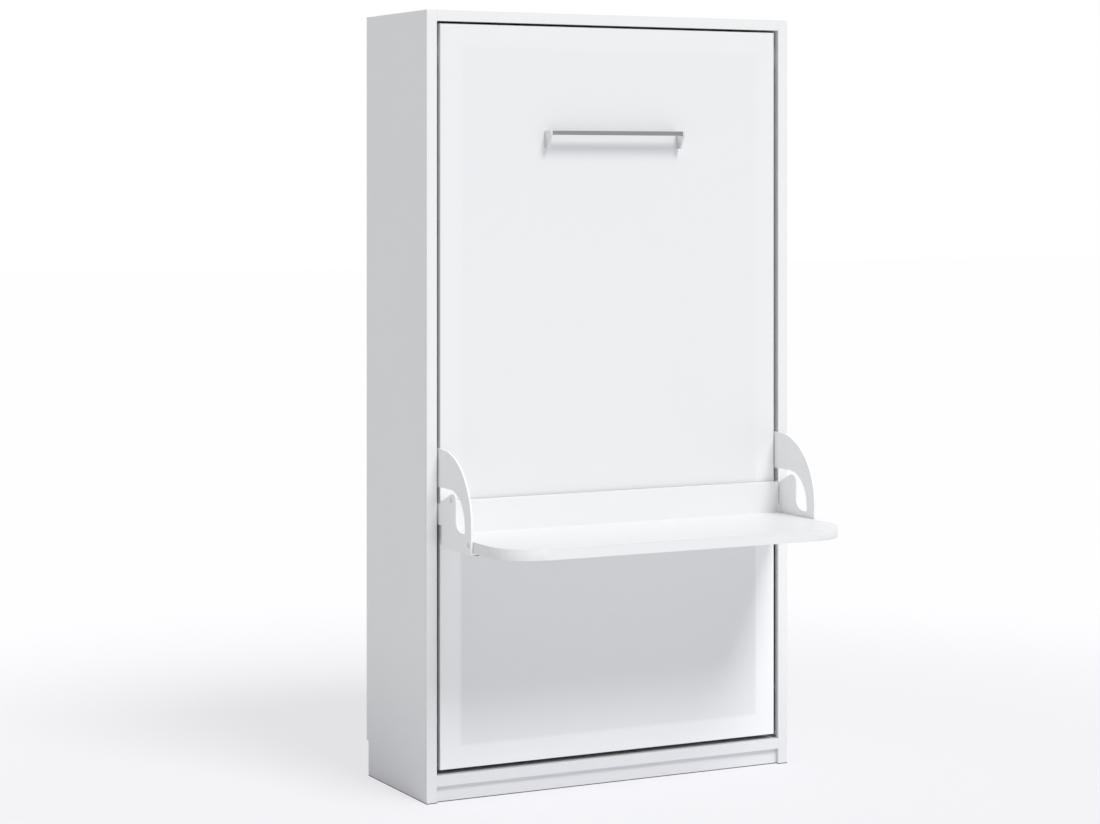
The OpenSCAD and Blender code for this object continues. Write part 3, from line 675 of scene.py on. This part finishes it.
PIPING_R = 3.2 * MM
PIPING_FROM_FACE = 7 * MM
PIPING_INSET = 5.5 * MM
PIPING_STEP = 6 * MM
EYELET_OVER_BEAD = 32 * MM
# Where the eyelets sit, as shares of half the mattress's length.
EYELET_Z = (-0.62, -0.56, 0.56, 0.62)
# An eyelet's profile: rows of (radius, height), in millimetres.
EYELET = ((7, -2), (7, 1.2), (5.6, 1.8), (4, 1.2), (3.6, -1))


def smooth_step(x):
    x = min(1.0, max(0.0, x))
    return x * x * (3 - 2 * x)


def rounded(x, z, half_x, half_z, radius):
    """Moves a point of a square-cornered face into the same face with round corners."""
    dx = abs(x) - (half_x - radius)
    dz = abs(z) - (half_z - radius)
    if dx > 0 and dz > 0:
        squeeze = max(dx, dz) / math.hypot(dx, dz)
        x = math.copysign(half_x - radius + dx * squeeze, x)
        z = math.copysign(half_z - radius + dz * squeeze, z)
    return x, z


def outward(x, z, half_x, half_z, radius):
    """The outward direction of a round-cornered outline at one of its points."""
    dx = abs(x) - (half_x - radius)
    dz = abs(z) - (half_z - radius)
    if dx > 0 and dz > 0:
        length = math.hypot(dx, dz)
        return math.copysign(dx / length, x), math.copysign(dz / length, z)
    if dx / radius > dz / radius:
        return math.copysign(1.0, x), 0.0
    return 0.0, math.copysign(1.0, z)


def seam_distance(x, z):
    """Distance to the nearest of the diagonal quilting seams."""
    across, along = x / QUILT_X, z / QUILT_Z
    share = min(abs((line + 0.5) % 1 - 0.5) for line in (across + along, across - along))
    return share * QUILT_X * QUILT_Z / math.hypot(QUILT_X, QUILT_Z)


def on_seam(i, k):
    """Which diagonal of a cell of the face's grid lies on a seam: 1, -1, or 0 for neither."""
    i -= FACE_CELLS[0] // 2
    k -= FACE_CELLS[1] // 2
    if (i - k) % SEAM_STEPS == 0:
        return 1
    return -1 if (i + k + 1) % SEAM_STEPS == 0 else 0


class Mattress:
    """The mattress's form: a crowned and quilted face, a drawn-in side and a flat underside."""

    def __init__(self):
        self.mid = (MATTRESS_LOW + MATTRESS_HIGH) / 2
        self.half_x = (MATTRESS_HIGH.x - MATTRESS_LOW.x) / 2
        self.half_z = (MATTRESS_HIGH.z - MATTRESS_LOW.z) / 2
        self.top = MATTRESS_HIGH.y - CROWN - SWELL_FREE
        self.face_x = self.half_x - EDGE_R
        self.face_z = self.half_z - EDGE_R
        self.loop = []

    def pressed(self, z):
        """1 under a strap, and 0 away from it."""
        away = min(abs(z + self.mid.z - strap) for strap in STRAP_Z)
        return 1 - smooth_step((away - STRAP_HALF) / PRESS_RUN)

    def crown(self, x, z):
        """How far the face rises over its rim, without the quilting."""
        inset = min(self.half_x - abs(x), self.half_z - abs(z))
        return CROWN * math.sin(math.pi / 2 * min(1, max(0, inset) / CROWN_RUN))

    def face(self, x, z):
        """Height of the sleeping face, at a place from its middle."""
        edge = min(self.face_x - abs(x), self.face_z - abs(z))
        inner = smooth_step(edge / FACE_RIM)
        puff = 1 - math.exp(-seam_distance(x, z) / PUFF_RUN)
        press = self.pressed(z)
        height = self.crown(x, z) - QUILT_PUFF * inner * (1 - puff * (1 - PRESS_FLATTEN * press))
        return self.top + height - PRESS_SINK * press * inner

    def underside(self, x, z):
        return MATTRESS_LOW.y

    def ring(self, inset, y):
        """The face's outline moved in or out to an inset from the widest line."""
        points = []
        for x, z in self.loop:
            nx, nz = outward(x, z, self.face_x, self.face_z, CORNER_R - EDGE_R)
            grow = EDGE_R - inset
            points.append(Vector((x + nx * grow, y, z + nz * grow + self.mid.z)))
        return points

    def grid(self):
        """The face's columns of points (X, Z), with round corners."""
        nx, nz = FACE_CELLS
        xs = [self.face_x * (2 * i / nx - 1) for i in range(nx + 1)]
        zs = [self.face_z * (2 * k / nz - 1) for k in range(nz + 1)]
        return [[rounded(x, z, self.face_x, self.face_z, CORNER_R - EDGE_R) for z in zs]
                for x in xs]

    def build(self):
        """The whole body as one closed mesh. On the face, its cells are split along the seams."""
        bm = bmesh.new()
        grid = self.grid()
        nx, nz = FACE_CELLS
        sheets = []
        for height in (self.face, self.underside):
            rows = [[bm.verts.new((x, height(x, z), z + self.mid.z)) for x, z in column]
                    for column in grid]
            for i in range(nx):
                for k in range(nz):
                    a, b = rows[i][k], rows[i + 1][k]
                    c, d = rows[i + 1][k + 1], rows[i][k + 1]
                    cell = {1: [(a, b, c), (a, c, d)], -1: [(a, b, d), (b, c, d)]}
                    for corners in cell.get(on_seam(i, k), [(a, b, c, d)]):
                        bm.faces.new(corners)
            sheets.append(rows)
        border = ([(i, 0) for i in range(nx)] + [(nx, k) for k in range(nz)]
                  + [(i, nz) for i in range(nx, 0, -1)] + [(0, k) for k in range(nz, 0, -1)])
        self.loop = [grid[i][k] for i, k in border]
        rows = [[sheets[0][i][k] for i, k in border]]
        for inset, y in self.profile():
            rows.append([bm.verts.new(point) for point in self.ring(inset, y)])
        rows.append([sheets[1][i][k] for i, k in border])
        count = len(border)
        for a, b in zip(rows, rows[1:]):
            for k in range(count):
                bm.faces.new((a[k], a[(k + 1) % count], b[(k + 1) % count], b[k]))
        obj = piece("mattress_body", bm, "ticking", "bed")
        self.swell(obj)
        return obj

    def swell(self, obj):
        """Blows the quilting up as cloth under pressure. Seams, sides and underside are held."""
        mesh = obj.data
        start = [vertex.co.copy() for vertex in mesh.vertices]
        free = []
        for i, point in enumerate(start):
            x, z = point.x, point.z - self.mid.z
            edge = min(self.face_x - abs(x), self.face_z - abs(z))
            on_face = point.y > self.top - EDGE_R and edge > RIM_HELD
            if on_face and seam_distance(x, z) > SEAM_HELD and self.pressed(z) < 0.5:
                free.append(i)
        held = obj.vertex_groups.new(name="held")
        held.add(sorted(set(range(len(start))) - set(free)), 1.0, "REPLACE")
        cloth = obj.modifiers.new("swell", "CLOTH")
        cloth.settings.quality = 4
        cloth.settings.mass = 0.3
        cloth.settings.tension_stiffness = 3
        cloth.settings.compression_stiffness = 3
        cloth.settings.shear_stiffness = 1.5
        cloth.settings.bending_stiffness = 0.6
        cloth.settings.use_pressure = True
        cloth.settings.uniform_pressure_force = SWELL_PRESSURE
        cloth.settings.effector_weights.gravity = 0.0
        cloth.settings.vertex_group_mass = held.name
        cloth.collision_settings.use_collision = False
        cloth.point_cache.frame_start = 1
        cloth.point_cache.frame_end = SWELL_FRAMES
        scene = bpy.context.scene
        for frame_number in range(1, SWELL_FRAMES + 1):
            scene.frame_set(frame_number)
        blown = obj.evaluated_get(bpy.context.evaluated_depsgraph_get()).to_mesh()
        ends = [vertex.co.copy() for vertex in blown.vertices]
        obj.modifiers.remove(cloth)
        obj.vertex_groups.remove(held)
        scene.frame_set(1)
        for i in free:
            move = ends[i] - start[i]
            if move.length > SWELL_ROOM:
                move *= SWELL_ROOM / move.length
            mesh.vertices[i].co = start[i] + move
        mesh.update()

    def profile(self):
        """Rows of (inset, Y) from the sleeping face round the side to the underside."""
        low, high = MATTRESS_LOW.y, self.top
        roll = [math.radians(a) for a in ROLL]
        rows = [(EDGE_R * (1 - math.cos(a)), high - EDGE_R * (1 - math.sin(a))) for a in roll]
        side_low, side_high = low + EDGE_R, high - EDGE_R
        for k in range(SIDE_STEPS + 1):
            t = k / SIDE_STEPS
            pull = DRAW_IN * (1 - abs(2 * t - 1) ** DRAW_POWER)
            bead = BEAD * math.exp(-((t - 0.5) / BEAD_SHARE) ** 2)
            rib = RIB * (1 - math.cos(2 * math.pi * t * RIBS)) / 2
            rows.append((pull + bead + rib, side_high + (side_low - side_high) * t))
        rows += [(EDGE_R * (1 - math.cos(a)), low + EDGE_R * (1 - math.sin(a)))
                 for a in reversed(roll)]
        return rows

    def piping(self, name, y):
        """The cord along an edge. The outline's points crowd at the corners: near ones stay out."""
        bm = bmesh.new()
        path = self.ring(PIPING_INSET, y)
        kept = [path[0]]
        for point in path[1:]:
            if (point - kept[-1]).length > PIPING_STEP:
                kept.append(point)
        tube(bm, kept, PIPING_R, closed=True, sides=8)
        piece(name, bm, "piping", "bed")

    def eyelets(self):
        """The air holes of both long sides, as high in the side as the profile says."""
        bm = bmesh.new()
        rows = [(radius * MM, height * MM, False) for radius, height in EYELET]
        y = (MATTRESS_LOW.y + self.top) / 2 + EYELET_OVER_BEAD
        inset = min(self.profile(), key=lambda row: abs(row[1] - y))[0]
        for side in (-1, 1):
            for z in EYELET_Z:
                x = side * (self.half_x - inset)
                lathe(bm, rows, (x, y, self.mid.z + z * self.half_z), (side, 0, 0))
        piece("mattress_eyelets", bm, "zinc", "bed")


mattress = Mattress()
body = mattress.build()
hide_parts("mattress")
mattress.piping("mattress_piping_face", mattress.top - PIPING_FROM_FACE)
mattress.piping("mattress_piping_base", MATTRESS_LOW.y + PIPING_FROM_FACE)
mattress.eyelets()


# ---------------------------------------------------------------- straps

STRAP_T = 1.6 * MM
RAIL_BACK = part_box("rail_right")[1].y
STRAP_SIDE_GAP = 1.4 * MM
STRAP_FACE_GAP = 1.2 * MM
STRAP_STEPS = 60
# The strap's start, in millimetres outside its line up the side and behind the rail's back.
STRAP_START = ((22, 1.6), (4, 1.6), (0.8, 3.5), (0, 9))
# Its way up the side, as shares of the height from the rail to the shoulder.
STRAP_SIDE = (0.35, 0.7, 0.95)
# Its way round the edge: degrees, and the lift in millimetres over the piping, at 43 degrees.
STRAP_LIFT = ((8, 1.6), (22, 3.2), (34, 5.2), (43, 5.8), (52, 5.2), (64, 3.2), (78, 1.4))
# Places across the strap and along it where the face below is felt, in millimetres.
STRAP_FEEL_X = (-14, 0, 14)
STRAP_FEEL_Z = (-16, 0, 16)
TAUT_ROUNDS = 6
TAUT_RIM = 8 * MM
# Its section: rows of (across its half width, over its half thickness), with soft edges.
RIBBON = ((-1, 0.6), (-0.96, 1), (0.96, 1), (1, 0.6),
          (1, -0.6), (0.96, -1), (-0.96, -1), (-1, -0.6))

BUCKLE_X = 170 * MM
BUCKLE_HALF = (17 * MM, 25 * MM)
BUCKLE_WIRE = 1.9 * MM
BUCKLE_CORNER = 5 * MM
BUCKLE_BAR_LIFT = 1.2 * MM
BUCKLE_GAP = 0.9 * MM
# The free end: how far it reaches from the buckle to both sides, and its hump over the wire.
TAIL_LONG = 130 * MM
TAIL_SHORT = 20 * MM
TAIL_HALF = STRAP_HALF * 0.98
TAIL_GAP = 0.4 * MM
TAIL_HUMP = 2.6 * MM
TAIL_HUMP_RUN = 12 * MM
STRAP_SCREW = (6 * MM, 3 * MM)
STRAP_SCREW_OUT = 17 * MM


def strap_line(z):
    """Half of a strap's line in (X, Y): from the rail up the side, and over to the middle."""
    local = z - mattress.mid.z
    side_x = mattress.half_x + STRAP_SIDE_GAP
    shoulder = mattress.top - EDGE_R
    line = [(side_x + dx * MM, RAIL_BACK + dy * MM) for dx, dy in STRAP_START]
    line += [(side_x, RAIL_BACK + (shoulder - RAIL_BACK) * t) for t in STRAP_SIDE]
    for a, lift in STRAP_LIFT:
        a, reach = math.radians(a), EDGE_R + lift * MM
        line.append((mattress.face_x + reach * math.cos(a), shoulder + reach * math.sin(a)))
    for k in range(STRAP_STEPS):
        x = mattress.face_x * (1 - k / STRAP_STEPS)
        felt = [mattress.face(x + dx * MM, local + dz * MM)
                for dx in STRAP_FEEL_X for dz in STRAP_FEEL_Z]
        line.append((x, max(felt) + STRAP_FACE_GAP))
    return line


def ribbon(bm, line, z, half, thick):
    """A flat strap along a line in (X, Y), with its width along Z."""
    points = [Vector((x, y, 0)) for x, y in line]
    rings = []
    for i, point in enumerate(points):
        along = (points[min(i + 1, len(points) - 1)] - points[max(i - 1, 0)]).normalized()
        out = Vector((-along.y, along.x, 0)) * (thick / 2)
        rings.append([bm.verts.new(point + out * lift + Vector((0, 0, z + across * half)))
                      for across, lift in RIBBON])
    sides = len(RIBBON)
    for a, b in zip(rings, rings[1:]):
        for k in range(sides):
            bm.faces.new((a[k], a[(k + 1) % sides], b[(k + 1) % sides], b[k]))
    bm.faces.new(rings[0])
    bm.faces.new(rings[-1])


def pulled_taut(line):
    """The line on the face pulled taut: a point never sinks, but lifts to its neighbours' mean."""
    line = list(line)
    for _ in range(TAUT_ROUNDS):
        for i in range(1, len(line) - 1):
            mean = (line[i - 1][1] + line[i + 1][1]) / 2
            if abs(line[i][0]) < mattress.face_x - TAUT_RIM:
                line[i] = (line[i][0], max(line[i][1], mean))
    return line


def frame_buckle(bm, x, y, z):
    """A ladder buckle: a rounded wire frame with a bar across its middle, lying on the strap."""
    half_x, half_z = BUCKLE_HALF
    path = []
    for sx, sz, start in ((1, 1, 0), (-1, 1, 90), (-1, -1, 180), (1, -1, 270)):
        for k in range(5):
            a = math.radians(start + 90 * k / 4)
            path.append(Vector((x + sx * (half_x - BUCKLE_CORNER) + BUCKLE_CORNER * math.cos(a), y,
                                z + sz * (half_z - BUCKLE_CORNER) + BUCKLE_CORNER * math.sin(a))))
    tube(bm, path, BUCKLE_WIRE, closed=True, sides=8)
    tube(bm, [Vector((x, y + BUCKLE_BAR_LIFT, z + end * half_z)) for end in (-1, 1)], BUCKLE_WIRE)


def make_strap(node, z):
    """A strap from rail to rail, with its free end, its buckle and the two screws that hold it."""
    half = strap_line(z)
    line = pulled_taut(half + [(0.0, half[-1][1])] + [(-x, y) for x, y in reversed(half)])
    bm = bmesh.new()
    ribbon(bm, line, z, STRAP_HALF, STRAP_T)
    strap = piece(node + "_webbing", bm, "webbing", "bed")
    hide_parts(node)
    # The free end comes back over the buckle and lies on the strap.
    under = [(x, y) for x, y in line if abs(x - BUCKLE_X) < TAIL_LONG]
    over = [(x, y + STRAP_T + TAIL_GAP
             + TAIL_HUMP * math.exp(-((x - BUCKLE_X) / TAIL_HUMP_RUN) ** 2))
            for x, y in under if x < BUCKLE_X + TAIL_SHORT]
    bm = bmesh.new()
    ribbon(bm, over, z, TAIL_HALF, STRAP_T)
    tail = piece(node + "_tail", bm, "webbing", "bed")
    bm = bmesh.new()
    near = min(under, key=lambda point: abs(point[0] - BUCKLE_X))
    frame_buckle(bm, BUCKLE_X, near[1] + STRAP_T + BUCKLE_GAP, z)
    for side in (-1, 1):
        x = side * (mattress.half_x + STRAP_SCREW_OUT)
        button_head(bm, (x, RAIL_BACK + 1.5 * STRAP_T, z), (0, 1, 0), *STRAP_SCREW)
    buckle = piece(node + "_buckle", bm, "zinc", "bed")


for node, z in zip(STRAPS, STRAP_Z):
    make_strap(node, z)


# ---------------------------------------------------------------- fittings

AXLE = Vector((0, 45, 216.5)) * MM
ARM_PIN = Vector((0, 45, 913.5)) * MM
INNER_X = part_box("side_panel_right")[0].x

# Heads, each with its radius and height.
FLANGE_SCREW = (4.8 * MM, 2.1 * MM)
ARM_BUTTON = (7.2 * MM, 1.8 * MM)
BRACKET_BOLT = (5 * MM, 3.6 * MM)
BRACKET_SCREW = (4.6 * MM, 2.4 * MM)
TUBE_SCREW = (4.6 * MM, 2.2 * MM)
STOP_SCREW = (4.2 * MM, 2.2 * MM)
BACK_SCREW = (3.6 * MM, 1.6 * MM)
PLATE_SCREW_R = 5 * MM
WASHER_R = 7 * MM

# The arms: their inner and outer faces, the flange's screws and the bolt as shares of the reach.
ARM_IN = INNER_X - 9.8 * MM
ARM_OUT = INNER_X - 4.8 * MM
ARM_HOOK = Vector((0, -83 * MM, 832.9 * MM))
FLANGE_MID = 17.5 * MM
FLANGE_SCREWS = (0.8, 0.51, 0.25)
BOLT_SHARE = 0.92
BOLT_Z = 725 * MM

# The folded brackets: their sheet, and where the bolts and the screws sit about each pin.
BRACKET_T = 4 * MM
BRACKET_REACH = ((AXLE, 46 * MM), (ARM_PIN, 32 * MM))
BRACKET_BOLT_Y = 42 * MM
BRACKET_SCREW_X = 30 * MM
TUBE_HALF = 12.5 * MM
TUBE_GAPS = 4
TUBE_BACK_Y = 18 * MM
TUBE_SCREW_X = (-0.3, 0.0, 0.3)

# The cabinet's screws and caps, from the edges of what they hold. Bare ones are in millimetres.
PLATE_SCREW_Y = 10 * MM
PLATE_SCREW_Z = (34 * MM, 10 * MM)
STOP_T = 4 * MM
STOP_SCREW_Y = (12, 30)
CAP_IN = 34 * MM
TOP_CAP_Y = (70, 210, 340)
SHELF_CAP_Y = (150, 330)
RAIL_CAP_Z = (28, 72)
BACK_SCREW_IN = 14 * MM
BACK_SCREW_PITCH = 104 * MM
BACK_SCREWS = 5


def fittings(name, body, paint, items, stands_for=()):
    """One piece of many small heads: rows of (maker, place, axis, *sizes)."""
    bm = bmesh.new()
    for maker, place, axis, *sizes in items:
        maker(bm, place, axis, *sizes)
    obj = piece(name, bm, paint, body)
    if stands_for:
        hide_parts(*stands_for)


def washer(bm, place, axis, radius, height):
    """The round spacer between the desk's end and an arm."""
    lathe(bm, [(radius * 0.97, 0.0, False), (radius, height * 0.3, False),
               (radius, height * 0.7, False), (radius * 0.97, height, False)], place, axis, 24)


def flat_head(bm, place, axis, radius):
    """A countersunk head, flush with its plate, with a hexagonal socket."""
    lathe(bm, [(radius, -1.2 * MM, False), (radius, 0.2 * MM, False),
               (radius * 0.5, 0.3 * MM, False), (radius * 0.45, 0.2 * MM, True),
               (radius * 0.4, -0.6 * MM, True)], place, axis, 24)


def hex_head(bm, place, axis, radius, height):
    """A hexagonal bolt head on a round flange."""
    lathe(bm, [(radius * 1.35, 0.0, False), (radius * 1.3, height * 0.18, False),
               (radius, height * 0.2, True), (radius, height * 0.9, True),
               (radius * 0.85, height, True)], place, axis, 24)


def arm_hardware():
    """The screws under the flanges, the bolt through each arm and the button on each hook."""
    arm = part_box("arm_right")[0]
    desk_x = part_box("desktop")[1].x
    bolt = Vector((0, arm.y * BOLT_SHARE, BOLT_Z))
    items = []
    for side in (-1, 1):
        for share in FLANGE_SCREWS:
            items.append((button_head, (side * (ARM_IN - FLANGE_MID), arm.y * share, arm.z),
                          (0, 0, -1), *FLANGE_SCREW))
        items.append((washer, (side * desk_x, bolt.y, bolt.z), (side, 0, 0),
                      WASHER_R, ARM_IN - desk_x))
        for place in (bolt, ARM_HOOK):
            items.append((button_head, (side * ARM_OUT, place.y, place.z), (side, 0, 0),
                          *ARM_BUTTON))
    fittings("arm_hardware", "desk", "zinc", items, ["arm_screws"])


def bed_hardware():
    """Bolts of the folded brackets, and screws of the cross tubes."""
    rail_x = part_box("rail_right")[1].x
    door_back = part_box("door_panel")[1].y
    items = []
    for side in (-1, 1):
        bolt_x, screw_x = side * (rail_x + BRACKET_T), side * (rail_x + BRACKET_SCREW_X)
        for pin, reach in BRACKET_REACH:
            for z in (pin.z - reach, pin.z + reach):
                items.append((hex_head, (bolt_x, door_back + BRACKET_BOLT_Y, z), (side, 0, 0),
                              *BRACKET_BOLT))
                items.append((button_head, (screw_x, door_back + BRACKET_T, z), (0, 1, 0),
                              *BRACKET_SCREW))
    tubes_low, tubes_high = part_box("cross_tubes")
    pitch = (tubes_high.z - tubes_low.z - 2 * TUBE_HALF) / TUBE_GAPS
    for k in range(1, TUBE_GAPS + 1):
        z = tubes_low.z + TUBE_HALF + k * pitch
        for x in TUBE_SCREW_X:
            items.append((button_head, (x, door_back + TUBE_BACK_Y, z), (0, 1, 0), *TUBE_SCREW))
    fittings("bed_hardware", "bed", "zinc", items)


def cabinet_hardware():
    """Screws of the pivot plates, the stops and the back, and the caps over cabinet fittings."""
    low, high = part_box("pivot_plate_right")
    stop_low, stop_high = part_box("closing_stops")
    back_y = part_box("back_panel_upper")[1].y
    top_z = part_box("top_panel")[0].z
    shelf_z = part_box("bottom_shelf")[1].z
    rails = [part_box("wall_rail_upper"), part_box("wall_rail_lower")]
    rail_y = rails[0][0].y
    items, caps = [], []
    for side in (-1, 1):
        for z in (low.z + PLATE_SCREW_Z[0], high.z - PLATE_SCREW_Z[1]):
            items.append((flat_head, (side * INNER_X, high.y - PLATE_SCREW_Y, z), (-side, 0, 0),
                          PLATE_SCREW_R))
        for dy in STOP_SCREW_Y:
            place = (side * (INNER_X - STOP_T), stop_high.y - dy * MM,
                     (stop_low.z + stop_high.z) / 2)
            items.append((button_head, place, (-side, 0, 0), *STOP_SCREW))
        cap_x = side * (INNER_X - CAP_IN)
        caps += [(cover_cap, (cap_x, y * MM, top_z), (0, 0, -1)) for y in TOP_CAP_Y]
        caps += [(cover_cap, (cap_x, y * MM, shelf_z), (0, 0, 1)) for y in SHELF_CAP_Y]
        caps += [(cover_cap, (cap_x, rail_y, rail[0].z + dz * MM), (0, -1, 0))
                 for rail in rails for dz in RAIL_CAP_Z]
    for rail_low, rail_high in rails:
        for k in range(-BACK_SCREWS, BACK_SCREWS + 1):
            for z in (rail_low.z + BACK_SCREW_IN, rail_high.z - BACK_SCREW_IN):
                items.append((button_head, (k * BACK_SCREW_PITCH, back_y, z), (0, 1, 0),
                              *BACK_SCREW))
    fittings("cabinet_screws", "cabinet", "zinc", items)
    fittings("cabinet_caps", "cabinet", "joiner", caps)


arm_hardware()
bed_hardware()
cabinet_hardware()
